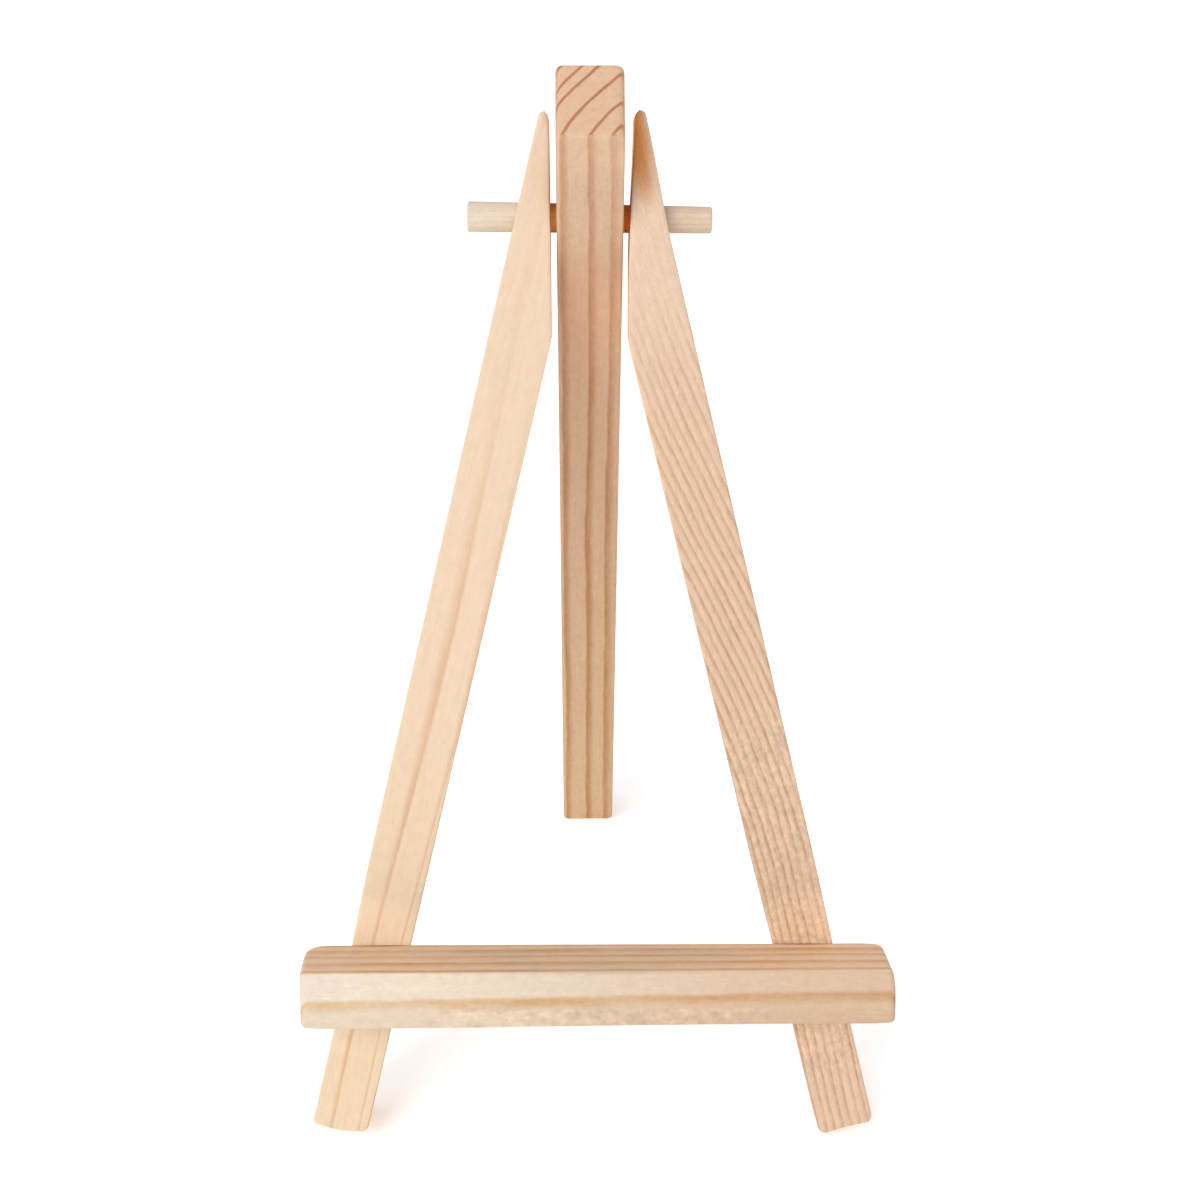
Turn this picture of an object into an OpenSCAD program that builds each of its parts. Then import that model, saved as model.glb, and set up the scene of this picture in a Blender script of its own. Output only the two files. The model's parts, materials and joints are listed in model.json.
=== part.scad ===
// Small folding tabletop easel: two slanted front legs with a picture ledge,
// and a rear prop leg that swings on a wooden dowel. Millimetres, +Z up, front towards -Y.
// The origin is on the table, under the middle of the whole easel.

/* [Stock] */
// Width of the wooden strip, seen from the front
strip_w = 8.5; // [7:0.1:10]
// Depth of the wooden strip, front to back
strip_t = 9; // [7:0.1:10]

/* [Front legs] */
// Slant of each front leg from upright
leg_slant = 13.5; // [11:0.5:16]
// Distance from the front feet up to the dowel, along the leaning frame
pivot_rise = 128; // [110:1:150]
// Height of the leg tips above the dowel
tip_rise = 13.7; // [10:0.1:18]
// Clear gap between the front legs where the rear leg passes
neck_gap = 10.5; // [10.5:0.1:14]
// Radius of the rounded leg tips
tip_r = 0.8; // [0.4:0.1:1.2]
// Radius of the rounded foot corners
foot_r = 1; // [0.4:0.1:2]

/* [Ledge] */
// Length of the ledge
ledge_l = 80.5; // [74:0.5:100]
// How far the ledge's middle stands to the right of the easel's middle
ledge_shift = 0.85; // [0:0.05:2]
// Height of the ledge
ledge_h = 7.6; // [6:0.1:10]
// Depth of the ledge
ledge_d = 11.2; // [9:0.1:14]
// Distance from the front feet up to the ledge, along the leaning frame
ledge_rise = 20.6; // [15:0.1:30]
// Radius of the ledge's corners at the leg side
ledge_back_r = 2.5; // [1:0.1:4]
// Radius of the ledge's front corners
ledge_front_r = 0.8; // [0.3:0.1:2]

/* [Rear leg] */
// Angle between the front frame and the rear leg as it stands
opening = 39; // [30:1:50]
// Length of the rear leg below the dowel
rear_below = 133.7; // [126:0.1:145]
// Length of the rear leg above the dowel, at its front face
rear_above = 16.5; // [12:0.1:22]
// Slant of the rear leg's top cut
top_cut = 27; // [0:1:35]

/* [Dowel and brads] */
// Diameter of the dowel
dowel_d = 3.8; // [3:0.1:4.5]
// Length of the dowel
dowel_l = 32.6; // [30:0.1:40]
// Radial play of the rear leg on the dowel
pivot_play = 0.05; // [0.02:0.01:0.1]
// Diameter of a brad
brad_d = 1.2; // [1:0.1:1.4]
// Length of a brad
brad_l = 15; // [13:0.5:17]
// Diameter of a brad's head
brad_head_d = 2; // [1.6:0.1:2.2]

/* [Hidden] */
$fn = 64;
cut_past = 1;        // how far a drill runs past the wood
arc_steps = 8;       // straight steps in a rounded outline corner
brad_head_h = 0.5;
brad_rise = 1.7;     // each brad's height above or below the ledge's middle
brad_stagger = 1.4;  // each brad's shift to the side of the leg's middle

// The outer edges of a leg meet its inner cut face at a point above the tip.
inner_x = neck_gap / 2;
point_rise = pivot_rise + tip_rise + tip_r * (1 / tan(leg_slant / 2) - 1);
kink_rise = point_rise - strip_w / sin(leg_slant);
foot_x = inner_x + kink_rise * tan(leg_slant);
across = [cos(leg_slant), sin(leg_slant)];
along = [-sin(leg_slant), cos(leg_slant)];

// Height lost to the rounding at the corner that a front leg stands on.
foot_lift = foot_r * (sin(leg_slant) + cos(leg_slant) - 1);

// The frame leans back until the rear leg's foot is level with the front feet.
rear_foot_up = pivot_rise - rear_below * cos(opening) - strip_t / 2 * sin(opening);
rear_foot_back = strip_t / 2 + rear_below * sin(opening) - strip_t / 2 * cos(opening);
lean = atan2(rear_foot_up - foot_lift, rear_foot_back - strip_t);
rear_tilt = opening - lean;

// Row Y and Z of a point of the frame, given up the frame and back from its front face.
function frame_y(up, back) = up * sin(lean) + back * cos(lean);
function frame_z(up, back) = up * cos(lean) - back * sin(lean);

pivot_y = frame_y(pivot_rise, strip_t / 2);
pivot_z = frame_z(pivot_rise, strip_t / 2);
front_y = min(frame_y(ledge_rise, -ledge_d), frame_y(foot_lift, 0));
back_y = pivot_y + rear_below * sin(rear_tilt) + strip_t / 2 * cos(rear_tilt);
frame_shift = [0, -(front_y + back_y) / 2, -frame_z(foot_lift, strip_t)];

// Points of an arc about a centre, from one angle to another.
function arc(centre, r, from, to) =
    [for (i = [0 : arc_steps]) let(a = from + (to - from) * i / arc_steps)
        centre + r * [cos(a), sin(a)]];

// Children are drawn with X across, Y up the leaning frame and Z forwards from its front face.
module on_frame() {
    translate(frame_shift)
        rotate([90 - lean, 0, 0])
            children();
}

// Children are drawn with X across, Y up the rear leg from the dowel and Z towards its front.
module on_rear_leg() {
    translate(frame_shift + [0, pivot_y, pivot_z])
        rotate([90 + rear_tilt, 0, 0])
            children();
}

module leg_outline() {
    inner_foot = [foot_x, 0];
    outer_foot = inner_foot + strip_w * across;
    tip = [inner_x + tip_r, pivot_rise + tip_rise - tip_r];
    polygon(concat(
        arc(inner_foot + foot_r * (across + along), foot_r, 180 + leg_slant, 270 + leg_slant),
        arc(outer_foot + foot_r * (along - across), foot_r, 270 + leg_slant, 360 + leg_slant),
        arc(tip, tip_r, leg_slant, 180),
        [[inner_x, kink_rise]]));
}

module dowel_rod(d, l) {
    translate([0, pivot_rise, -strip_t / 2])
        rotate([0, 90, 0])
            cylinder(d = d, h = l, center = true);
}

// One brad, driven forwards from the back of a leg. side and level are -1 or 1.
module brad(side, level) {
    up = ledge_rise + ledge_h / 2 + level * brad_rise;
    leg_middle = foot_x + strip_w / 2 / cos(leg_slant) - up * tan(leg_slant);
    translate([side * (leg_middle + level * brad_stagger), up, -strip_t]) {
        cylinder(d = brad_d, h = brad_l);
        cylinder(d = brad_head_d, h = brad_head_h);
    }
}

module front_leg(side) {
    on_frame() difference() {
        mirror([side < 0 ? 1 : 0, 0, 0])
            translate([0, 0, -strip_t])
                linear_extrude(strip_t) leg_outline();
        dowel_rod(dowel_d, dowel_l + 2 * cut_past);
        brad(side, 1);
        brad(side, -1);
    }
}

module left_front_leg() {
    color("#f3deba") front_leg(-1);
}

module right_front_leg() {
    color("#e6c8a4") front_leg(1);
}

module rear_leg() {
    top_back = rear_above + strip_t * tan(top_cut);
    color("#d8b78f") on_rear_leg() difference() {
        translate([-strip_w / 2, 0, 0])
            rotate([90, 0, 90])
                linear_extrude(strip_w)
                    polygon([[-rear_below, -strip_t / 2], [top_back, -strip_t / 2],
                             [rear_above, strip_t / 2], [-rear_below, strip_t / 2]]);
        rotate([0, 90, 0])
            cylinder(d = dowel_d + 2 * pivot_play, h = strip_w + 2 * cut_past, center = true);
    }
}

module pivot_dowel() {
    color("#ead2ac") on_frame() dowel_rod(dowel_d, dowel_l);
}

module ledge_outline() {
    back = [ledge_l / 2 - ledge_back_r, ledge_back_r];
    front = [ledge_l / 2 - ledge_front_r, ledge_d - ledge_front_r];
    polygon(concat(
        arc(back, ledge_back_r, 270, 360),
        arc(front, ledge_front_r, 0, 90),
        arc([-front.x, front.y], ledge_front_r, 90, 180),
        arc([-back.x, back.y], ledge_back_r, 180, 270)));
}

module canvas_ledge() {
    color("#ecd5b2") on_frame() difference() {
        translate([ledge_shift, ledge_rise + ledge_h, 0])
            rotate([90, 0, 0])
                linear_extrude(ledge_h) ledge_outline();
        for (side = [-1, 1], level = [-1, 1]) brad(side, level);
    }
}

module steel_brad(side, level) {
    color("silver") on_frame() brad(side, level);
}

left_front_leg();
right_front_leg();
rear_leg();
pivot_dowel();
canvas_ledge();
steel_brad(-1, 1);  // upper_left_brad
steel_brad(-1, -1);  // lower_left_brad
steel_brad(1, 1);  // upper_right_brad
steel_brad(1, -1);  // lower_right_brad
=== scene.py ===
import json
import math

import bpy
from mathutils import Matrix, Vector


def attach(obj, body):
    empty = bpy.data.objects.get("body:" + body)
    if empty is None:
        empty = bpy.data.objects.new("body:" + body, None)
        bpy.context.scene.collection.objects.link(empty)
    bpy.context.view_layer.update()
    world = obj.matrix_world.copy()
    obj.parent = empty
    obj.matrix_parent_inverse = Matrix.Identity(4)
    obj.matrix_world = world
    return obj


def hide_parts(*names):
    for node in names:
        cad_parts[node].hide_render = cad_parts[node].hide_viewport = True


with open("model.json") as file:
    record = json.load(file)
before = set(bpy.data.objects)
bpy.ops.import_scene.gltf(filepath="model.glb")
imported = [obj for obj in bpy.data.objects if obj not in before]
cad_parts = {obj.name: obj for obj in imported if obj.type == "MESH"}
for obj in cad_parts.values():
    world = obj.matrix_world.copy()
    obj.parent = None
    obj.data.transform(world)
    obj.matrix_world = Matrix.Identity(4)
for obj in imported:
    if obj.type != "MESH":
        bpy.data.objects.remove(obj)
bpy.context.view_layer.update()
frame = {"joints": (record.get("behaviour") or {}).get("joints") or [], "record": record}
mm = 0.001
tiny = 1e-9


def turn(degrees, axis):
    return Matrix.Rotation(math.radians(degrees), 4, axis)


def move(x, y, z):
    return Matrix.Translation((x * mm, y * mm, z * mm))


# the camera, level with the dowel and looking down at the ledge
view = {
    "lens": 60,
    "sensor": 36,
    "nearest": 0.01,  # m
    "at": (-2.1, -269.7, 193.6),  # mm
    "down": 25.56,  # degrees below level
    "right": 0.7,
    "roll": -0.23,
}

cameraData = bpy.data.cameras.new("camera")
cameraData.lens = view["lens"]
cameraData.sensor_width = view["sensor"]
cameraData.clip_start = view["nearest"]
camera = bpy.data.objects.new("camera", cameraData)
camera.matrix_world = (
    move(*view["at"]) @ turn(90 - view["down"], "X") @ turn(-view["right"], "Y") @ turn(view["roll"], "Z")
)
bpy.context.scene.collection.objects.link(camera)
bpy.context.scene.camera = camera
print("camera set")

# where the pieces are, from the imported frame, in mm
strip = {"width": 8.5, "depth": 9.0}
frontFrame = {"slant": 13.5, "pivotRise": 128.0, "neckGap": 10.5, "tipRadius": 0.8, "tipRise": 13.7}
ledgeSize = {"length": 80.5, "height": 7.6, "depth": 11.2, "rise": 20.6, "shift": 0.85, "slope": 0.12}
rearSize = {"below": 133.7, "above": 16.5, "topCut": 27.0, "opening": 39.0}

mounts = {mount["name"]: mount for mount in frame["record"]["mounts"]}
upFrame = Vector(mounts["ledge_top"]["axis"])
lean = math.degrees(math.atan2(upFrame.y, upFrame.z))
pivot = Vector(frame["joints"][0]["pos_m"])

# X across, Y up the leaning legs, Z forwards; the origin is at the feet, on the legs' front face
framePlane = (
    Matrix.Translation(pivot)
    @ turn(90 - lean, "X")
    @ move(0, -frontFrame["pivotRise"], strip["depth"] / 2)
)

slant = math.radians(frontFrame["slant"])
innerX = frontFrame["neckGap"] / 2
tipHeight = frontFrame["pivotRise"] + frontFrame["tipRise"] - frontFrame["tipRadius"]
pointRise = tipHeight + frontFrame["tipRadius"] / math.tan(slant / 2)
kinkRise = pointRise - strip["width"] / math.sin(slant)
footX = innerX + kinkRise * math.tan(slant)
kinkAlong = kinkRise / math.cos(slant)
legLength = (
    tipHeight * math.cos(slant)
    + (footX - innerX - frontFrame["tipRadius"]) * math.sin(slant)
    + frontFrame["tipRadius"]
)


def legPlace(side):
    # from the middle of the foot's end, with Y up the leg
    return (
        framePlane
        @ move(
            side * (footX + strip["width"] / 2 * math.cos(slant)),
            strip["width"] / 2 * math.sin(slant),
            -strip["depth"] / 2,
        )
        @ turn(side * frontFrame["slant"], "Z")
    )


rearPlace = (
    Matrix.Translation(pivot)
    @ turn(90 + rearSize["opening"] - lean, "X")
    @ move(0, -rearSize["below"], 0)
)
# X forwards, Y to the right, Z up the frame
ledgePlace = (
    framePlane
    @ move(ledgeSize["shift"], ledgeSize["rise"] + ledgeSize["height"] / 2, ledgeSize["depth"] / 2)
    @ turn(-ledgeSize["slope"], "Z")
    @ move(-ledgeSize["length"] / 2, 0, 0)
    @ Matrix(((0, 1, 0, 0), (0, 0, 1, 0), (1, 0, 0, 0), (0, 0, 0, 1)))
)


# nodes written as sums
class Wire:
    # a node's output that can be used in sums
    def __init__(self, board, socket):
        self.board = board
        self.socket = socket

    def calc(self, operation, *others):
        return self.board.sum(operation, self, *others)

    def __add__(self, other):
        return self.board.sum("ADD", self, other)

    def __radd__(self, other):
        return self.board.sum("ADD", other, self)

    def __sub__(self, other):
        return self.board.sum("SUBTRACT", self, other)

    def __rsub__(self, other):
        return self.board.sum("SUBTRACT", other, self)

    def __mul__(self, other):
        return self.board.sum("MULTIPLY", self, other)

    def __rmul__(self, other):
        return self.board.sum("MULTIPLY", other, self)

    def __truediv__(self, other):
        return self.board.sum("DIVIDE", self, other)

    def __abs__(self):
        return self.board.sum("ABSOLUTE", self)

    def atLeast(self, other):
        return self.board.sum("MAXIMUM", self, other)

    def atMost(self, other):
        return self.board.sum("MINIMUM", self, other)

    def above(self, other):
        return self.board.sum("GREATER_THAN", self, other)


class Board:
    # a node tree that nodes are added to
    def __init__(self, tree):
        self.tree = tree

    def node(self, kind, settings=None, sockets=None):
        made = self.tree.nodes.new(kind)
        for key, value in (settings or {}).items():
            setattr(made, key, value)
        for key, value in (sockets or {}).items():
            if isinstance(value, Wire):
                self.tree.links.new(value.socket, made.inputs[key])
            else:
                made.inputs[key].default_value = value
        return made

    def out(self, kind, settings=None, sockets=None, output=0):
        return Wire(self, self.node(kind, settings, sockets).outputs[output])

    def sum(self, operation, *values):
        return self.out("ShaderNodeMath", {"operation": operation}, dict(enumerate(values)))

    def split(self, vector):
        made = self.node("ShaderNodeSeparateXYZ", None, {0: vector})
        return [Wire(self, socket) for socket in made.outputs]

    def join(self, x, y, z):
        return self.out("ShaderNodeCombineXYZ", None, {0: x, 1: y, 2: z})

    def length(self, x, y):
        return (x * x + y * y).calc("SQRT")

    def ease(self, value, low, high):
        # 0 below low, 1 above high, smooth between
        return self.out(
            "ShaderNodeMapRange",
            {"interpolation_type": "SMOOTHSTEP"},
            {"Value": value, "From Min": low, "From Max": high},
        )

    def noise(self, vector, detail=2.0, roughness=0.5):
        return self.out(
            "ShaderNodeTexNoise",
            None,
            {"Vector": vector, "Scale": 1.0, "Detail": detail, "Roughness": roughness},
        )

    def mix(self, factor, first, second, blend="MIX"):
        # the colour sockets of a mix node are its inputs 6 and 7 and its output 2
        return self.out(
            "ShaderNodeMix", {"data_type": "RGBA", "blend_type": blend}, {0: factor, 6: first, 7: second}, 2
        )


def newTree(name, inputs):
    # a geometry tree with its named inputs, and one geometry output
    tree = bpy.data.node_groups.new(name, "GeometryNodeTree")
    tree.interface.new_socket("Geometry", in_out="OUTPUT", socket_type="NodeSocketGeometry")
    for key, value in inputs.items():
        kind = {int: "NodeSocketInt", float: "NodeSocketFloat", str: "NodeSocketMaterial"}[type(value)]
        socket = tree.interface.new_socket(key, in_out="INPUT", socket_type=kind)
        if kind != "NodeSocketMaterial":
            socket.default_value = value
    board = Board(tree)
    group = board.node("NodeGroupInput")
    wires = {key: Wire(board, group.outputs[key]) for key in inputs}
    return board, wires


def endTree(board, geometry, material):
    whole = board.out("GeometryNodeRealizeInstances", None, {0: geometry})
    dressed = board.out("GeometryNodeSetMaterial", None, {"Geometry": whole, "Material": material})
    board.node("NodeGroupOutput", None, {0: dressed})


def grow(name, tree, values):
    # runs a tree with the given inputs and keeps the result as a plain mesh
    seed = bpy.data.objects.new(name + "Seed", bpy.data.meshes.new(name + "Seed"))
    bpy.context.scene.collection.objects.link(seed)
    modifier = seed.modifiers.new("grow", "NODES")
    modifier.node_group = tree
    for item in tree.interface.items_tree:
        if item.in_out == "INPUT" and item.name in values:
            modifier[item.identifier] = values[item.name]
    shape = bpy.data.meshes.new_from_object(seed.evaluated_get(bpy.context.evaluated_depsgraph_get()))
    bpy.data.objects.remove(seed)
    piece = bpy.data.objects.new(name, shape)
    bpy.context.scene.collection.objects.link(piece)
    return piece


sharpAngle = 32  # degrees, past which an edge isn't smoothed


def finishShape(piece, place=None):
    if place is not None:
        piece.data.transform(place)
    for face in piece.data.polygons:
        face.use_smooth = True
    piece.data.set_sharp_from_angle(angle=math.radians(sharpAngle))
    return piece


# the bar: a sawn strip with sanded edges, used for the legs and the ledge
def buildBarTree():
    board, given = newTree(
        "sandedBar",
        {
            "Width": 8.5 * mm,
            "Length": 100 * mm,
            "Depth": 9 * mm,
            "Corner Left Low": 1 * mm,
            "Corner Right Low": 1 * mm,
            "Corner Left High": 1 * mm,
            "Corner Right High": 1 * mm,
            "Edge": 0.3 * mm,
            "End Edge": 0.6 * mm,
            "End Reach": 3 * mm,
            "Side": 1.0,  # 1 if the bar's inner edge is its left one, and -1 if it is its right one
            "Cut Start": 1000 * mm,
            "Cut Slope": 0.0,
            "Foot Inner": 0.0,  # how much the foot narrows at each edge
            "Foot Outer": 0.0,
            "Foot Start": 15 * mm,
            "Foot Reach": 42 * mm,
            "Foot Drop Inner": 0.0,  # how much longer the foot's front is at each edge
            "Foot Drop Outer": 0.0,
            "Foot Bulge": 0.0,
            "Skew Low": 0.0,
            "Tip Shift": 0.0,
            "Tip From": 0.87,  # the share of the length where that begins
            "Top Cut": 0.0,
            "Dome Low": 0.0,
            "Dome High": 0.0,
            "Sag Low": 0.0,
            "Wander": 0.05 * mm,
            "Seed": 0.0,
            "Across": 17,
            "Along": 141,
            "Material": "",
        },
    )
    cube = board.out(
        "GeometryNodeMeshCube",
        None,
        {
            "Size": (2, 2, 2),
            "Vertices X": given["Across"],
            "Vertices Y": given["Along"],
            "Vertices Z": given["Across"],
        },
    )
    a, b, c = board.split(board.out("GeometryNodeInputPosition"))
    halfW = given["Width"] / 2
    halfL = given["Length"] / 2
    halfD = given["Depth"] / 2

    def dense(value):
        # closer rows towards both ends
        return value.calc("SIGN") * (1 - (1 - abs(value)).calc("POWER", 2.0))

    x = dense(a) * halfW
    y = dense(b) * halfL
    z = dense(c) * halfD

    # corners of the outline, one radius for each
    right = a.above(0)
    high = b.above(0)
    low = given["Corner Left Low"] + right * (given["Corner Right Low"] - given["Corner Left Low"])
    top = given["Corner Left High"] + right * (given["Corner Right High"] - given["Corner Left High"])
    corner = low + high * (top - low)
    coreW = halfW - corner
    coreL = halfL - corner

    def core(value, limit):
        return value.atMost(limit).atLeast(0 - limit)

    offX = x - core(x, coreW)
    offY = y - core(y, coreL)
    keep = abs(offX).atLeast(abs(offY)) / board.length(offX, offY).atLeast(tiny)
    x = core(x, coreW) + offX * keep
    y = core(y, coreL) + offY * keep

    # eased edges, larger at the ends and uneven along the bar
    wave = 7 * mm
    along = board.join(given["Seed"], y / wave, right + z.above(0) * 2)
    uneven = 0.7 + 0.6 * board.noise(along, 1.0)
    nearEnd = board.ease(abs(y), halfL - given["End Reach"], halfL - given["End Reach"] * 0.2)
    edge = (given["Edge"] * uneven * (1 - nearEnd) + given["End Edge"] * nearEnd).atMost(corner)
    offX = x - core(x, coreW)
    offY = y - core(y, coreL)
    away = board.length(offX, offY)
    inPlane = (edge - (corner - away)).atLeast(0)
    inDepth = (edge - (halfD - abs(z))).atLeast(0)
    keep = inPlane.atLeast(inDepth) / board.length(inPlane, inDepth).atLeast(tiny)
    pull = inPlane * (1 - keep) / away.atLeast(tiny)
    x = x - offX * pull
    y = y - offY * pull
    z = z.calc("SIGN") * (abs(z) - inDepth * (1 - keep))

    # the slanting cut of a leg's neck, its narrower foot and a tip that leans
    kinkSoftness = 0.4 * mm
    up = y + halfL
    inner = ((coreW - given["Side"] * x) / (2 * coreW)).atLeast(0).atMost(1)  # 1 at the inner edge
    cut = (up - given["Cut Start"]).calc("SMOOTH_MAX", 0.0, kinkSoftness) * given["Cut Slope"]
    foot = 1 - board.ease(up, given["Foot Start"], given["Foot Reach"])
    tip = board.ease(up, given["Length"] * given["Tip From"], given["Length"])
    x = x + given["Side"] * (
        inner * cut
        + foot * (inner * given["Foot Inner"] - (1 - inner) * given["Foot Outer"])
        + tip * given["Tip Shift"]
    )

    # a low end that was not sawn quite square
    sawReach = 8 * mm
    lowEnd = 1 - board.ease(up, 0.0, sawReach)
    front = (z / halfD + 1) / 2
    drop = inner * given["Foot Drop Inner"] + (1 - inner) * given["Foot Drop Outer"]
    drop = drop + 4 * inner * (1 - inner) * given["Foot Bulge"]
    y = y - lowEnd * (front * drop + (1 - a) / 2 * given["Skew Low"])

    # a sloping top end, and ends rounded over towards their upper edge
    slopeFrom = 14 * mm
    slopeFull = 3 * mm
    domeFrom = 9 * mm
    domeFull = 3 * mm
    flat = 0.15  # the share of the lower half that stays flat as well
    topPart = ((y - halfL + slopeFrom) / (slopeFrom - slopeFull)).atLeast(0).atMost(1)
    y = y + (halfD - z) * given["Top Cut"] * topPart
    over = ((z / halfD + flat) / (1 + flat)).atLeast(0)
    endPart = board.ease(abs(y), halfL - domeFrom, halfL - domeFull)
    y = y + over * over * endPart * (
        (1 - high) * given["Dome Low"] - high * given["Dome High"]
    )

    # a lower face that drops towards the low end
    sagPart = 1 - board.ease(up, 0.0, given["Length"] * 0.8)
    z = z - (1 - z / halfD) * 0.5 * given["Sag Low"] * sagPart

    # the faces are never quite flat
    dipAcross = 3 * mm
    dipAlong = 16 * mm
    spot = board.join(x / dipAcross + given["Seed"], y / dipAlong, z / dipAcross)
    dip = board.noise(spot, 1.0) * given["Wander"]
    place = board.join(x, y + halfL, z)
    placed = board.out("GeometryNodeSetPosition", None, {"Geometry": cube, "Position": place})
    normal = board.out("GeometryNodeInputNormal")
    inward = board.out("ShaderNodeVectorMath", {"operation": "SCALE"}, {0: normal, "Scale": 0 - dip})
    sanded = board.out("GeometryNodeSetPosition", None, {"Geometry": placed, "Offset": inward})
    endTree(board, sanded, given["Material"])
    return board.tree


# the rod: the dowel and the brads, with an eased end and an optional head
def buildRodTree():
    board, given = newTree(
        "turnedRod",
        {
            "Length": 20 * mm,
            "Radius": 2 * mm,
            "Ease": 0.3 * mm,
            "Head Radius": 2 * mm,
            "Head Height": 0.5 * mm,
            "Point": 0.0,
            "Taper": 0.0,
            "Wander": 0.0,
            "Rows": 60,
            "Around": 48,
            "Material": "",
        },
    )
    end = board.join(0.0, given["Length"], 0.0)
    line = board.out("GeometryNodeCurvePrimitiveLine", None, {"Start": (0, 0, 0), "End": end})
    line = board.out("GeometryNodeResampleCurve", None, {"Curve": line, "Count": given["Rows"]})
    share = board.out("GeometryNodeSplineParameter", None, None, "Factor")
    crowding = 2.2  # closer rows towards both ends
    fromMiddle = 1 - (1 - abs(2 * share - 1)).calc("POWER", crowding)
    y = (0.5 + (share - 0.5).calc("SIGN") * 0.5 * fromMiddle) * given["Length"]
    row = board.join(0.0, y, 0.0)
    line = board.out("GeometryNodeSetPosition", None, {"Geometry": line, "Position": row})
    y = board.split(board.out("GeometryNodeInputPosition"))[1]
    fromEnd = y.atMost(given["Length"] - y)
    short = (given["Ease"] - fromEnd).atLeast(0)
    easing = given["Ease"] - (given["Ease"] * given["Ease"] - short * short).atLeast(0).calc("SQRT")
    pastHead = board.ease(y, given["Head Height"] * 0.8, given["Head Height"] * 1.3)
    head = (given["Head Radius"] - given["Radius"]) * (1 - pastHead)
    sharp = board.ease(y, given["Length"] - given["Point"] - tiny, given["Length"])
    wave = 5 * mm
    uneven = board.noise(board.join(0.0, y / wave, 3.0), 1.0) * given["Wander"]
    thin = given["Taper"] * (y / given["Length"] - 0.5)
    pointed = 1 - 0.9 * sharp * given["Point"].above(0)
    radius = (given["Radius"] + head - easing - uneven - thin) * pointed
    ring = board.out(
        "GeometryNodeCurvePrimitiveCircle", None, {"Resolution": given["Around"], "Radius": 1 * mm}
    )
    tube = board.out(
        "GeometryNodeCurveToMesh",
        None,
        {"Curve": line, "Profile Curve": ring, "Scale": radius / mm, "Fill Caps": True},
    )
    endTree(board, tube, given["Material"])
    return board.tree


# looks
faceLight = 1.42  # how bright a white upright face comes out under the lamp and the sky


def tint(red, green, blue):
    # the paint that shows this screen colour, 0 to 255, on an upright face
    paint = [((value / 255 + 0.055) / 1.055) ** 2.4 / faceLight for value in (red, green, blue)]
    return (*paint, 1.0)


# how each part of the grain stands out of the surface, in mm, and changes how dull it is
relief = {"hair": 0.016, "fibre": 0.03, "late": 0.015, "torn": 0.16, "blotch": 0.02, "grit": 0.012}
dullness = {"hair": 0.12, "end": 0.08, "late": -0.06}
endRing = (0.8, 0.62, 0.5, 1)  # what darkens a dark ring on a sawn end
footRange = (20, 70)  # mm along a strip, where the rings of its foot turn into the others
footWidthRange = (30, 75)
sideFrom = 0.55  # how squarely a face must look one way to count as that side, at least and fully
endFull = 0.85
sideFull = 0.9


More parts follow.
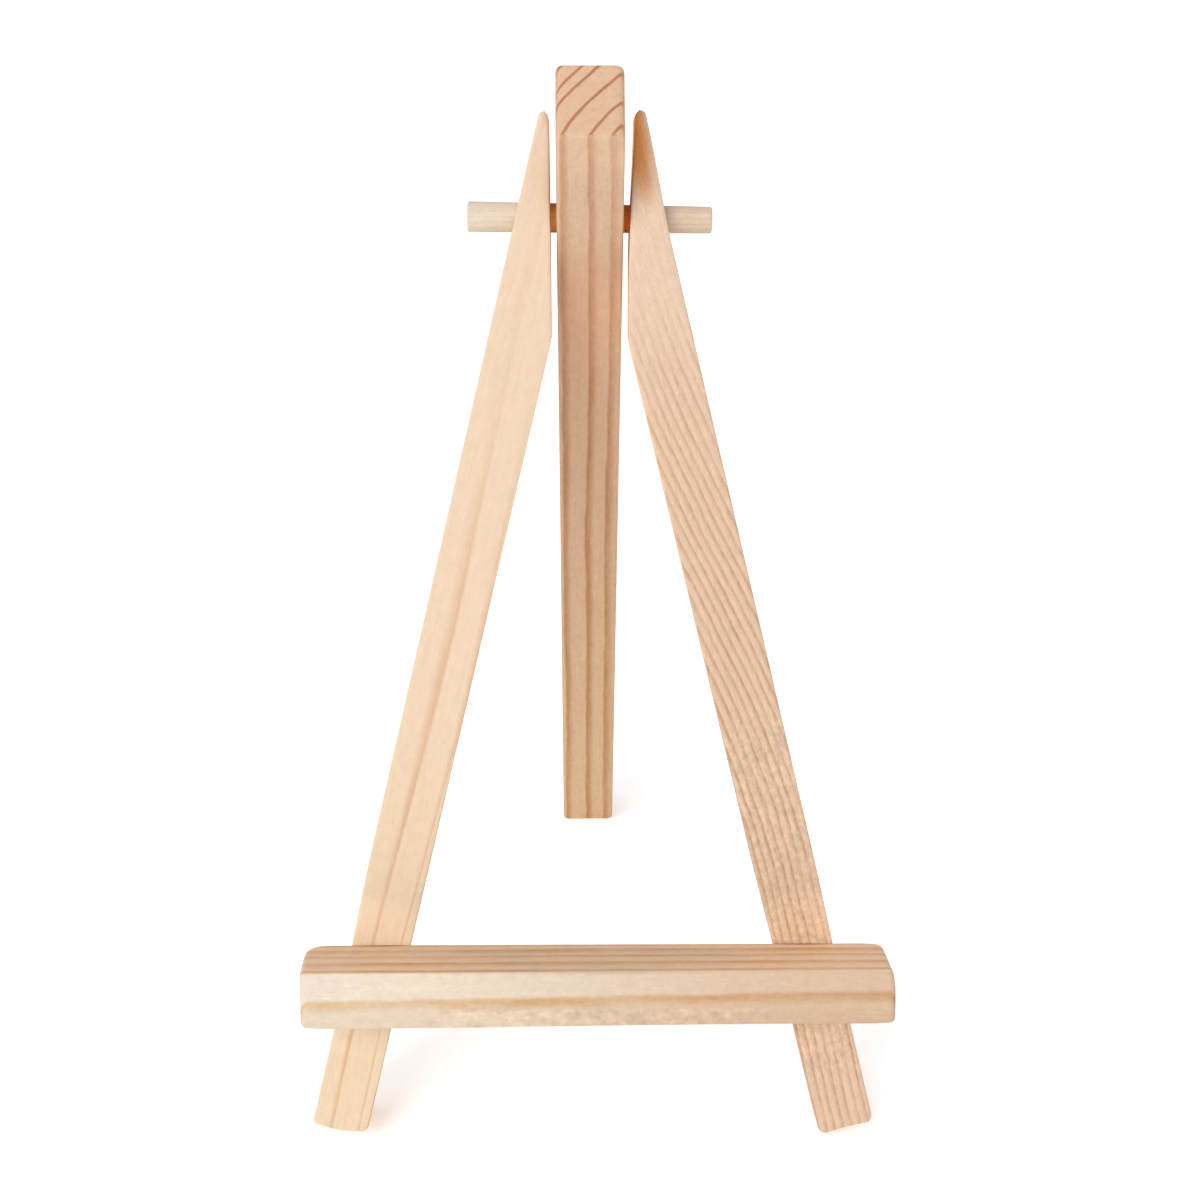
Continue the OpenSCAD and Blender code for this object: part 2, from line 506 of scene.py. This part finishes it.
def makeWood(name, place, grain):
    # sawn wood with its rings, fibres and end grain, in mm from the bar's own origin
    material = bpy.data.materials.new(name)
    material.use_nodes = True
    material.node_tree.nodes.clear()
    board = Board(material.node_tree)
    location, rotation, _ = place.decompose()
    coordinates = board.node("ShaderNodeTexCoord")
    spot = board.out(
        "ShaderNodeMapping",
        {"vector_type": "TEXTURE"},
        {
            "Vector": Wire(board, coordinates.outputs["Object"]),
            "Location": location,
            "Rotation": rotation.to_euler(),
            "Scale": (mm, mm, mm),
        },
    )
    x, y, z = board.split(spot)
    seed = grain["seed"]

    def speckle(across, along, detail=2.0, roughness=0.6, shift=0):
        # noise from -0.5 to 0.5, with this many spots in a mm across and along the grain
        spread = board.join(x * across + (seed + shift), y * along, z * across)
        return board.noise(spread, detail, roughness) - 0.5

    def facing(side):
        # how far a face looks the way of this side of the bar, from -1 to 1
        return board.out(
            "ShaderNodeVectorMath",
            {"operation": "DOT_PRODUCT"},
            {0: Wire(board, coordinates.outputs["Normal"]), 1: rotation @ Vector(side)},
            "Value",
        )

    # how far a point is from the tree's middle, which wanders
    slow = speckle(1 / 11, 1 / grain["wanderLength"], 1.0, 0.5)
    quick = speckle(1 / 4, 1 / 7, 2.0, 0.5)
    sweepFrom, sweepTo, sweepBy = grain["sweep"]
    sweep = board.ease(y, sweepFrom, sweepTo) * sweepBy
    awayX = x - (grain["heart"][0] + y * grain["drift"][0]) - sweep
    awayZ = z - (grain["heart"][1] + y * grain["drift"][1])
    radius = board.length(awayX, awayZ) + slow * grain["wander"] + quick * grain["ripple"]

    # sawn ends cut across the fibres
    endGrain = board.ease(abs(facing((0, 1, 0))), sideFrom, endFull)

    # the dark late wood of each ring, soft towards the heart and sharp outside
    softness = grain["lateWidth"] + (grain["lateWidthEnd"] - grain["lateWidth"]) * endGrain
    softness = softness * (grain["footWidth"] + (1 - grain["footWidth"]) * board.ease(y, *footWidthRange))
    if "rings" in grain:
        late = 0.0
        for distance, strength, width in grain["rings"]:
            at = radius - distance
            rise = board.ease(at, 0 - softness * width, 0.0)
            fall = 1 - board.ease(at, 0.0, grain["lateStop"] * width)
            late = (rise * fall * strength).atLeast(late)
    else:
        age = radius / grain["spacing"]
        age = age + board.noise(board.join(age * 0.45 + seed, 0.5, 0.5), 0.0) * grain["uneven"]
        share = age.calc("FRACT")
        number = age.calc("FLOOR") + seed
        luck = board.out("ShaderNodeTexWhiteNoise", {"noise_dimensions": "1D"}, {"W": number}, "Value")
        peak = 0.86  # where in a ring its late wood is darkest
        rise = board.ease(share, peak - softness / grain["spacing"], peak)
        fall = 1 - board.ease(share, peak, 1.0)
        late = rise * fall * (0.55 + 0.45 * luck)
    fadeFrom, fadeTo, fadeLeft = grain["fade"]
    plain = board.ease(y, fadeFrom, fadeTo) * (1 - fadeLeft)
    patch = board.noise(board.join(x / 2.5 + seed, y / 13, z / 2.5 + 3), 1.0)
    late = late * (1 - plain) * (1 + (patch - 0.5) * grain["patchy"])
    late = late * (grain["footRings"] + (1 - grain["footRings"]) * board.ease(y, *footRange))
    late = late * (1 + speckle(3.5, 0.8) * grain["dashes"]).atLeast(0)
    late = late * (grain["contrast"] + (grain["contrastEnd"] - grain["contrast"]) * endGrain)
    late = late.atMost(1)

    # fibres, short dark ducts, and the slight blotches of bare wood
    fibre = speckle(3.2, 0.16, 3.0)
    hair = speckle(12, 0.5)
    blotch = speckle(0.9, 0.55, 3.0)
    grit = speckle(2.6, 1.9, 2.0, 0.7)
    duct = board.ease(speckle(6, 0.4, 1.0, 0.5, 9), 0.18, 0.28)

    # torn grain, where the saw or the sander lifted it
    tornFrom, tornTo, tornLow, tornHigh, tornAmount = grain["torn"]
    coarse = grain["tornSize"]
    fadeAlong = 9
    fadeDeep = 0.4
    inside = board.ease(y, tornFrom, tornFrom + fadeAlong) * (1 - board.ease(y, tornTo - fadeAlong, tornTo))
    inside = inside * board.ease(z, tornLow, tornLow + fadeDeep)
    inside = inside * (1 - board.ease(z, tornHigh - fadeDeep, tornHigh))
    torn = speckle(1.5 / coarse, 1.1 / coarse, 2.0, 0.65, 5) * inside * tornAmount

    # the colours, which change along the strip
    along = board.ease(y, *grain["tones"])
    early = board.mix(along, *grain["early"])
    dark = board.mix(along, *grain["late"])
    colour = board.mix(late, early, dark)
    colour = board.mix(endGrain * 0.5, colour, grain["endTint"], "MULTIPLY")
    colour = board.mix(endGrain * late * 0.5, colour, endRing, "MULTIPLY")
    # painted shade and painted light on the faces that look one way; on the ledge's upper face partly its
    # wood tone
    for side, lowToneAndShading, highToneAndShading in grain["faceToneAndPaintedShading"]:
        mask = board.ease(facing(side), sideFrom, sideFull)
        colour = board.mix(mask, colour, board.mix(along, lowToneAndShading, highToneAndShading), "MULTIPLY")
    colour = board.mix(duct * grain["ducts"], colour, grain["late"][1])
    shade = 1 + fibre * grain["fibre"] + hair * grain["fibre"] * 0.5 + blotch * grain["blotch"]
    shade = shade + grit * grain["grit"] + torn * 0.5
    colour = board.mix(1.0, colour, shade, "MULTIPLY")
    for middle, reach, stainAndShading in grain["stainsAndPaintedShading"]:
        # a soft patch of other colour, with its middle and its reach each way; some patches are stains,
        # others painted light and painted shade
        far = 0.0
        for value, centre, size in zip((x, y, z), middle, reach):
            far = ((value - centre) / size).calc("POWER", 2.0) + far
        colour = board.mix(1 - board.ease(far, 0.1, 1.0), colour, stainAndShading, "MULTIPLY")

    rough = hair * dullness["hair"] + endGrain * dullness["end"] + late * dullness["late"]
    rough = (rough + grain["roughness"]).atMost(1).atLeast(0.2)
    height = hair * relief["hair"] + fibre * relief["fibre"] + late * relief["late"]
    height = height + torn * relief["torn"] + blotch * relief["blotch"] + grit * relief["grit"]
    bump = board.out("ShaderNodeBump", None, {"Strength": 1.0, "Distance": 1.0, "Height": height * mm})
    surface = board.node(
        "ShaderNodeBsdfPrincipled",
        None,
        {
            "Base Color": colour,
            "Roughness": rough,
            "Specular IOR Level": grain["gloss"],
            "Normal": bump,
        },
    )
    board.node("ShaderNodeOutputMaterial", None, {"Surface": Wire(board, surface.outputs["BSDF"])})
    return material


def buildBradTree(rod):
    # the same rod four times, two in each leg, driven forwards from the leg's back
    board, given = newTree(
        "bradSet",
        {
            "Length": 15 * mm,
            "Radius": 0.6 * mm,
            "Head Radius": 1 * mm,
            "Head Height": 0.5 * mm,
            "Ease": 0.1 * mm,
            "Point": 1.5 * mm,
            "Reach": 30 * mm,
            "Height": 24 * mm,
            "Rise": 1.7 * mm,
            "Stagger": 1.4 * mm,
            "Slope": 0.24,
            "Depth": 9 * mm,
            "Rows": 40,
            "Around": 24,
            "Material": "",
        },
    )
    sizes = ("Length", "Radius", "Ease", "Head Radius", "Head Height", "Point", "Rows", "Around")
    shared = {key: given[key] for key in (*sizes, "Material")}
    one = board.out("GeometryNodeGroup", {"node_tree": rod}, shared)
    count = board.out("GeometryNodeInputIndex")
    side = count.calc("MODULO", 2) * 2 - 1
    level = (count / 2).calc("FLOOR") * 2 - 1
    high = given["Height"] + level * given["Rise"]
    across = given["Reach"] - high * given["Slope"] + level * given["Stagger"]
    place = board.join(side * across, high, 0 - given["Depth"])
    points = board.out("GeometryNodePoints", None, {"Count": 4, "Position": place})
    # the rod is made along Y, and the brads point forwards along Z
    forwards = (math.pi / 2, 0, 0)
    brads = board.out(
        "GeometryNodeInstanceOnPoints",
        None,
        {"Points": points, "Instance": one, "Rotation": forwards},
    )
    endTree(board, brads, given["Material"])
    return board.tree


steel = {
    "bright": (0.46, 0.45, 0.43, 1),
    "spot": (0.17, 0.13, 0.1, 1),
    "spotted": 0.6,
    "roughness": 0.38,
    "scratch": 0.012,  # mm
}


def makeSteel(name):
    # drawn wire: dull, with fine scratches round it and a few dark spots
    material = bpy.data.materials.new(name)
    material.use_nodes = True
    material.node_tree.nodes.clear()
    board = Board(material.node_tree)
    spot = board.out(
        "ShaderNodeMapping",
        {"vector_type": "TEXTURE"},
        {"Vector": board.out("ShaderNodeTexCoord", output="Object"), "Scale": (mm, mm, mm)},
    )
    x, y, z = board.split(spot)
    scratch = board.noise(board.join(x * 3, y * 14, z * 14), 3.0, 0.7) - 0.5
    spots = board.ease(board.noise(board.join(x * 2, y * 2, z * 2), 2.0), 0.55, 0.75)
    colour = board.mix(spots * steel["spotted"], steel["bright"], steel["spot"])
    height = scratch * steel["scratch"] * mm
    bump = board.out("ShaderNodeBump", None, {"Strength": 1.0, "Distance": 1.0, "Height": height})
    surface = board.node(
        "ShaderNodeBsdfPrincipled",
        None,
        {
            "Base Color": colour,
            "Metallic": 1.0,
            "Roughness": (scratch * 0.2 + spots * 0.25 + steel["roughness"]).atMost(1),
            "Normal": bump,
        },
    )
    board.node("ShaderNodeOutputMaterial", None, {"Surface": Wire(board, surface.outputs["BSDF"])})
    return material


barTree = buildBarTree()
rodTree = buildRodTree()
bradTree = buildBradTree(rodTree)
print("trees built")

# the rear leg
rearLeg = {
    "Width": (strip["width"] + 0.36) * mm,  # a little wider than the other strips
    "Length": (rearSize["below"] + rearSize["above"]) * mm,
    "Depth": strip["depth"] * mm,
    "Corner Left Low": 0.7 * mm,
    "Corner Right Low": 0.9 * mm,
    "Corner Left High": 0.9 * mm,
    "Corner Right High": 1.1 * mm,
    "Edge": 0.35 * mm,
    "End Edge": 0.4 * mm,
    "Side": 1.0,
    "Top Cut": math.tan(math.radians(rearSize["topCut"])),
    "Seed": 4.0,
}
rearGrain = {
    "seed": 4.0,
    "heart": (38.0, 38.0),  # the tree's middle, to the right of the strip and in front of it
    "drift": (0.0, 0.0),  # how far the heart moves that way in each mm along the strip
    "sweep": (0, 150, 0.0),  # from and to along the strip, and how far the rings bend there
    "wander": 1.2,  # long waves in the rings
    "wanderLength": 60,
    "ripple": 0.4,  # short waves in them
    "rings": [  # how far from the heart, how dark and how wide
        (46.6, 0.8, 1.0),
        (48.5, 0.85, 1.0),
        (50.7, 1.0, 1.0),
        (53.5, 0.9, 1.0),
        (56.1, 1.0, 1.0),
        (57.6, 0.8, 1.0),
        (59.5, 0.9, 1.0),
        (61.8, 0.8, 1.0),
    ],
    "lateWidth": 1.0,  # the dark part of a ring, on a side and on an end
    "lateWidthEnd": 0.35,
    "lateStop": 0.28,  # how softly it stops on its outer side
    "contrast": 1.05,  # how dark it is, on a side and on an end
    "contrastEnd": 2.1,
    "patchy": 0.76,  # how much that changes from place to place
    "dashes": 0.8,  # how far it is broken into dashes
    "footRings": 1.0,  # how dark and how wide it is at the low end, against the rest
    "footWidth": 1.0,
    "fade": (85, 130, 0.66),  # from and to along the strip, and how much is left after that
    "torn": (20, 140, -9, 9, 0.12),  # from and to along the strip and in depth, and how much
    "tornSize": 1.0,
    "tones": (0, 150),  # from and to along the strip, where the first tone turns into the second
    "early": (tint(232, 192, 152), tint(234, 196, 164)),
    "late": (tint(200, 146, 92), tint(200, 144, 104)),
    "endTint": (1.0, 0.94, 0.90, 1),
    "faceToneAndPaintedShading": [  # which way a face looks, and the painted warm shade on that side face at the bar's low and high end
        ((1, 0, 0), (0.95, 0.82, 0.68, 1), (0.95, 0.82, 0.68, 1)),
        ((-1, 0, 0), (0.95, 0.82, 0.68, 1), (0.95, 0.82, 0.68, 1)),
    ],
    "ducts": 0.35,
    "fibre": 0.22,
    "blotch": 0.2,
    "grit": 0.22,
    "roughness": 0.66,
    "gloss": 0.3,
    # the middle of each patch, stain and painted shading alike, its reach each way and its colour
    "stainsAndPaintedShading": [((0, 135, 4.5), (20, 12, 3), (0.94, 0.93, 0.93, 1))],
}

# the left front leg
leftLeg = {
    "Width": (strip["width"] - 0.14) * mm,  # and this one a little narrower
    "Length": legLength * mm,
    "Depth": strip["depth"] * mm,
    "Corner Left Low": 0.8 * mm,
    "Corner Right Low": 1.2 * mm,
    "Corner Left High": frontFrame["tipRadius"] * mm,
    "Corner Right High": frontFrame["tipRadius"] * mm,
    "Edge": 0.3 * mm,
    "End Edge": 0.5 * mm,
    "Side": -1.0,
    "Cut Start": (kinkAlong + 0.8) * mm,
    "Cut Slope": math.tan(slant) * 1.03,
    "Foot Inner": 0.06 * mm,
    "Foot Outer": 0.43 * mm,
    "Foot Drop Inner": 0.05 * mm,
    "Foot Drop Outer": 0.38 * mm,
    "Foot Bulge": 0.3 * mm,
    "Tip Shift": 0.0,
    "Seed": 1.0,
}
leftGrain = dict(
    rearGrain,
    seed=1.0,
    heart=(-120.0, -20.0),
    drift=(-0.012, 0.0),
    sweep=(15, 75, 2.0),
    wander=0.9,
    wanderLength=50,
    ripple=0.15,
    rings=[(115.0, 0.6, 1.0), (121.5, 1.0, 1.0), (125.3, 0.75, 0.5)],
    lateWidth=1.7,
    lateStop=0.35,
    contrast=0.68,
    contrastEnd=1.0,
    footRings=0.95,
    footWidth=0.4,
    fade=(70, 118, 0.25),
    # the inner side face: painted warm shade towards the foot and painted light towards the tip
    faceToneAndPaintedShading=[((1, 0, 0), (0.85, 0.55, 0.34, 1), (1.5, 1.42, 1.35, 1))],
    torn=(2, 30, -9, 9, 0.1),
    tones=(0, 110),
    early=(tint(246, 219, 186), tint(246, 217, 188)),
    late=(tint(222, 170, 122), tint(226, 182, 144)),
    ducts=0.2,
    fibre=0.14,
    blotch=0.16,
    grit=0.1,
    stainsAndPaintedShading=[  # painted light over and under the ledge, against the shade it casts on the leg, and a paler tip
        ((0, 27.5, 4.5), (20, 8.5, 2.5), (1.17, 1.17, 1.19, 1)),
        ((0, 16, 4.5), (20, 5.5, 2.5), (1.04, 1.05, 1.07, 1)),
        ((0, 143, 4.5), (6, 8, 3), (1.04, 1.09, 1.13, 1)),
    ],
)

# the right front leg
rightLeg = dict(
    leftLeg,
    **{
        "Width": strip["width"] * mm,
        "Corner Left Low": 1.0 * mm,
        "Corner Right Low": 1.1 * mm,
        "Side": 1.0,
        "Cut Start": (kinkAlong + 0.6) * mm,
        "Cut Slope": math.tan(slant) * 1.025,
        "Foot Drop Inner": 0.85 * mm,
        "Foot Drop Outer": 0.72 * mm,
        "Foot Bulge": -0.15 * mm,
        "Foot Inner": 0.3 * mm,
        "Foot Outer": 0.3 * mm,
        "Tip Shift": 0.58 * mm,
        "Seed": 2.0,
    },
)
rightGrain = dict(
    leftGrain,
    seed=2.0,
    heart=(-90.0, 30.0),
    drift=(0.0, 0.0),
    sweep=(38, 130, -14.5),
    wander=0.8,
    wanderLength=30,
    ripple=0.42,
    spacing=1.09,  # from ring to ring, which replaces the list of rings
    uneven=0.35,
    lateWidth=0.62,
    lateWidthEnd=0.4,
    lateStop=0.3,
    # the inner side face: painted light towards the tip
    faceToneAndPaintedShading=[((-1, 0, 0), (1, 1, 1, 1), (1.5, 1.4, 1.3, 1))],
    contrast=1.0,
    contrastEnd=1.1,
    patchy=1.3,
    dashes=2.0,
    footRings=0.75,
    footWidth=1.0,
    fade=(98, 130, 0.1),
    torn=(2, 66, -9, 9, 1.3),
    tones=(20, 140),
    early=(tint(234, 201, 171), tint(240, 209, 182)),
    late=(tint(204, 154, 118), tint(216, 172, 138)),
    ducts=0.35,
    fibre=0.28,
    blotch=0.2,
    grit=0.24,
    stainsAndPaintedShading=[  # painted warm shade on the tip, where the rear leg shades it, painted light over and under the ledge, against its shade, and a darker middle
        ((2.4, 144, 4.5), (2.6, 14, 6.5), (0.92, 0.53, 0.18, 1)),
        ((0, 27, 4.5), (20, 10, 2.5), (1.22, 1.21, 1.19, 1)),
        ((0, 16, 4.5), (20, 5.5, 2.5), (1.14, 1.14, 1.14, 1)),
        ((0, 85, 4.5), (20, 36, 3), (0.97, 0.95, 0.93, 1)),
    ],
)
del rightGrain["rings"]

# the ledge
ledge = {
    "Width": ledgeSize["depth"] * mm,
    "Length": ledgeSize["length"] * mm,
    "Depth": ledgeSize["height"] * mm,
    "Corner Left Low": 3.0 * mm,
    "Corner Right Low": 0.8 * mm,
    "Corner Left High": 1.2 * mm,
    "Corner Right High": 0.9 * mm,
    "Edge": 0.3 * mm,
    "End Edge": 0.7 * mm,
    "Skew Low": 0.75 * mm,
    "Dome High": 0.5 * mm,
    "Sag Low": 0.45 * mm,
    "Wander": 0.08 * mm,
    "Seed": 3.0,
}
ledgeGrain = dict(
    rearGrain,
    seed=3.0,
    heart=(61.0, -22.2),
    drift=(-0.005, 0.0018),
    sweep=(0, 150, 0.0),
    wander=0.45,
    wanderLength=26,
    ripple=0.2,
    rings=[
        (57.0, 0.9, 0.6),
        (59.5, 0.85, 0.7),
        (61.9, 1.0, 0.9),
        (64.5, 0.85, 1.7),
        (66.9, 0.8, 1.3),
        (69.0, 0.85, 1.8),
        (71.1, 0.8, 1.3),
    ],
    lateWidth=0.9,
    lateStop=0.4,
    contrast=0.95,
    contrastEnd=1.1,
    patchy=1.5,
    torn=(14, 66, -9, -1.2, 1.5),
    tornSize=1.8,
    # paler at the left end and tan towards the right: painted light falling off along the ledge
    tones=(0, 80),
    early=(tint(244, 228, 207), tint(225, 193, 164)),
    late=(tint(226, 184, 134), tint(206, 156, 106)),
    faceToneAndPaintedShading=[((0, 0, 1), (1.07, 0.87, 0.72, 1), (1.35, 1.32, 1.28, 1))],  # the upper face, darker and warmer at the low end: partly wood tone, partly painted shade from light that falls from the front
    ducts=0.2,
    fibre=0.16,
    blotch=0.24,
    grit=0.18,
    stainsAndPaintedShading=[  # painted shade: a dark line where each leg meets the ledge; then darker along the lower front, and the upper face darker, partly wood tone and partly painted shade
        ((-5.6, 9.8, 3.8), (0.9, 4.9, 0.9), (0.5, 0.3, 0.18, 1)),
        ((-5.6, 69.0, 3.8), (0.9, 4.9, 0.9), (0.5, 0.3, 0.18, 1)),
        ((5.6, 40.0, -4.4), (9, 90, 4.2), (0.93, 0.88, 0.82, 1)),
        ((0.0, 40.0, 3.8), (9, 26, 0.9), (0.88, 0.89, 0.89, 1)),
    ],
)

# the dowel
dowel = {
    "length": 32.6,  # mm, as are the rest but the droop
    "radius": 1.93,
    "taper": 0.26,
    "droop": 0.95,  # degrees
    "play": 0.12,
    "fit": 0.02,
    "ease": 0.3,
    "wander": 0.06,
}
dowelGrain = dict(
    leftGrain,
    seed=5.0,
    heart=(3.0, 40.0),
    drift=(0.0, 0.0),
    wander=0.4,
    spacing=0.75,
    uneven=0.4,
    sweep=(0, 150, 0.0),
    lateWidth=0.5,
    lateWidthEnd=0.3,
    contrast=0.3,
    contrastEnd=0.6,
    fade=(0, 400, 1.0),
    torn=(0, 33, -9, 9, 0.15),
    tones=(0, 33),
    early=(tint(243, 224, 201), tint(234, 208, 181)),
    late=(tint(214, 180, 140), tint(210, 168, 128)),
    ducts=0.35,
    fibre=0.2,
    blotch=0.24,
    grit=0.2,
    faceToneAndPaintedShading=[],
    stainsAndPaintedShading=[  # painted warm shade in the gap at each side of the rear leg
        ((0, 11.2, 0), (4, 2.6, 4), (1.7, 0.95, 0.38, 1)),
        ((0, 21.4, 0), (4, 2.6, 4), (1.6, 0.46, 0.1, 1)),
    ],
)
del dowelGrain["rings"]


def dowelPlace():
    return (
        Matrix.Translation(pivot)
        @ turn(dowel["droop"], "Y")
        @ turn(-90, "Z")
        @ move(0, -dowel["length"] / 2, 0)
    )


def makeDrill(name, extra, taper):
    drill = grow(
        name,
        rodTree,
        {
            "Length": dowel["length"] * mm,
            "Radius": (dowel["radius"] + extra) * mm,
            "Head Radius": (dowel["radius"] + extra) * mm,
            "Ease": tiny,
            "Taper": taper * mm,
            "Rows": 3,
            "Around": 64,
        },
    )
    drill.data.transform(dowelPlace())
    return drill


brad = {
    "Length": 15 * mm,
    "Radius": 0.6 * mm,
    "Head Radius": 1.0 * mm,
    "Head Height": 0.5 * mm,
    "Ease": 0.12 * mm,
    "Point": 1.6 * mm,
    "Reach": (footX + strip["width"] / 2 / math.cos(slant)) * mm,
    "Height": (ledgeSize["rise"] + ledgeSize["height"] / 2) * mm,
    "Rise": 1.7 * mm,
    "Stagger": 1.4 * mm,
    "Slope": math.tan(slant),
    "Depth": (strip["depth"] - 0.15) * mm,
}
# the shallow pits that the heads were punched into
pitRadius = 1.12
pit = dict(
    brad,
    **{
        "Length": 0.7 * mm,
        "Radius": pitRadius * mm,
        "Head Radius": pitRadius * mm,
        "Ease": tiny,
        "Point": 0.0,
        "Depth": (strip["depth"] + 0.4) * mm,
        "Rows": 3,
        "Around": 32,
    },
)


def makeBar(name, values, place, grain, body, drills=()):
    values = dict(values, Material=makeWood(name + "Wood", place, grain))
    piece = grow(name, barTree, values)
    piece.data.transform(place)
    for drill in drills:
        cut = piece.modifiers.new("drill", "BOOLEAN")
        cut.operation = "DIFFERENCE"
        cut.solver = "EXACT"
        cut.object = drill
    if drills:
        shape = bpy.data.meshes.new_from_object(piece.evaluated_get(bpy.context.evaluated_depsgraph_get()))
        piece.modifiers.clear()
        piece.data = shape
    finishShape(piece)
    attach(piece, body)
    return piece


tightDrill = makeDrill("tightDrill", dowel["fit"], dowel["taper"])
looseDrill = makeDrill("looseDrill", dowel["play"], 0.0)
pits = grow("pits", bradTree, pit)
pits.data.transform(framePlane)

drills = (tightDrill, pits)
left = makeBar("leftLeg", leftLeg, legPlace(-1), leftGrain, "front_frame", drills)
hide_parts("left_front_leg")
right = makeBar("rightLeg", rightLeg, legPlace(1), rightGrain, "front_frame", drills)
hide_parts("right_front_leg")
rear = makeBar("rearLeg", rearLeg, rearPlace, rearGrain, "rear_leg", (looseDrill,))
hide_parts("rear_leg")
shelf = makeBar("ledge", ledge, ledgePlace, ledgeGrain, "front_frame")
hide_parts("canvas_ledge")
print("bars made")

pin = grow(
    "dowel",
    rodTree,
    {
        "Length": dowel["length"] * mm,
        "Radius": dowel["radius"] * mm,
        "Ease": dowel["ease"] * mm,
        "Head Radius": dowel["radius"] * mm,
        "Taper": dowel["taper"] * mm,
        "Wander": dowel["wander"] * mm,
        "Rows": 90,
        "Around": 72,
        "Material": makeWood("dowelWood", dowelPlace(), dowelGrain),
    },
)
finishShape(pin, dowelPlace())
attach(pin, "front_frame")
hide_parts("pivot_dowel")
print("dowel made")

brads = grow("brads", bradTree, dict(brad, Material=makeSteel("bradSteel")))
finishShape(brads, framePlane)
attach(brads, "front_frame")
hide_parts("upper_left_brad", "lower_left_brad", "upper_right_brad", "lower_right_brad")
for drill in (tightDrill, looseDrill, pits):
    bpy.data.objects.remove(drill)
print("brads made")

# the floor and the light
paper = {
    "Base Color": (0.93, 0.93, 0.93, 1),
    "Roughness": 0.9,
    "Specular IOR Level": 0.0,
    "Emission Color": (1, 1, 1, 1),
    "Emission Strength": 0.29,
}
floorReach = 3  # m to each side
corners = [(-1, -1), (1, -1), (1, 1), (-1, 1)]
corners = [(floorReach * x, floorReach * y, 0) for x, y in corners]
floor = bpy.data.objects.new("floor", bpy.data.meshes.new("floor"))
floor.data.from_pydata(corners, [], [(0, 1, 2, 3)])
paint = bpy.data.materials.new("palePaper")
paint.use_nodes = True
for key, value in paper.items():
    paint.node_tree.nodes["Principled BSDF"].inputs[key].default_value = value
floor.data.materials.append(paint)
bpy.context.scene.collection.objects.link(floor)

light = {"from": (-0.45, -0.75, 0.62), "softness": 32, "power": 1.7, "sky": 0.78}
softBox = bpy.data.lights.new("softBox", "SUN")
softBox.angle = math.radians(light["softness"])
softBox.energy = light["power"]
key = bpy.data.objects.new("softBox", softBox)
key.matrix_world = (-Vector(light["from"])).to_track_quat("-Z", "Y").to_matrix().to_4x4()
bpy.context.scene.collection.objects.link(key)

world = bpy.data.worlds.new("studio")
world.use_nodes = True
world.node_tree.nodes["Background"].inputs["Color"].default_value = (1, 1, 1, 1)
world.node_tree.nodes["Background"].inputs["Strength"].default_value = light["sky"]
bpy.context.scene.world = world
bpy.context.scene.view_settings.view_transform = "Standard"
print("light set")
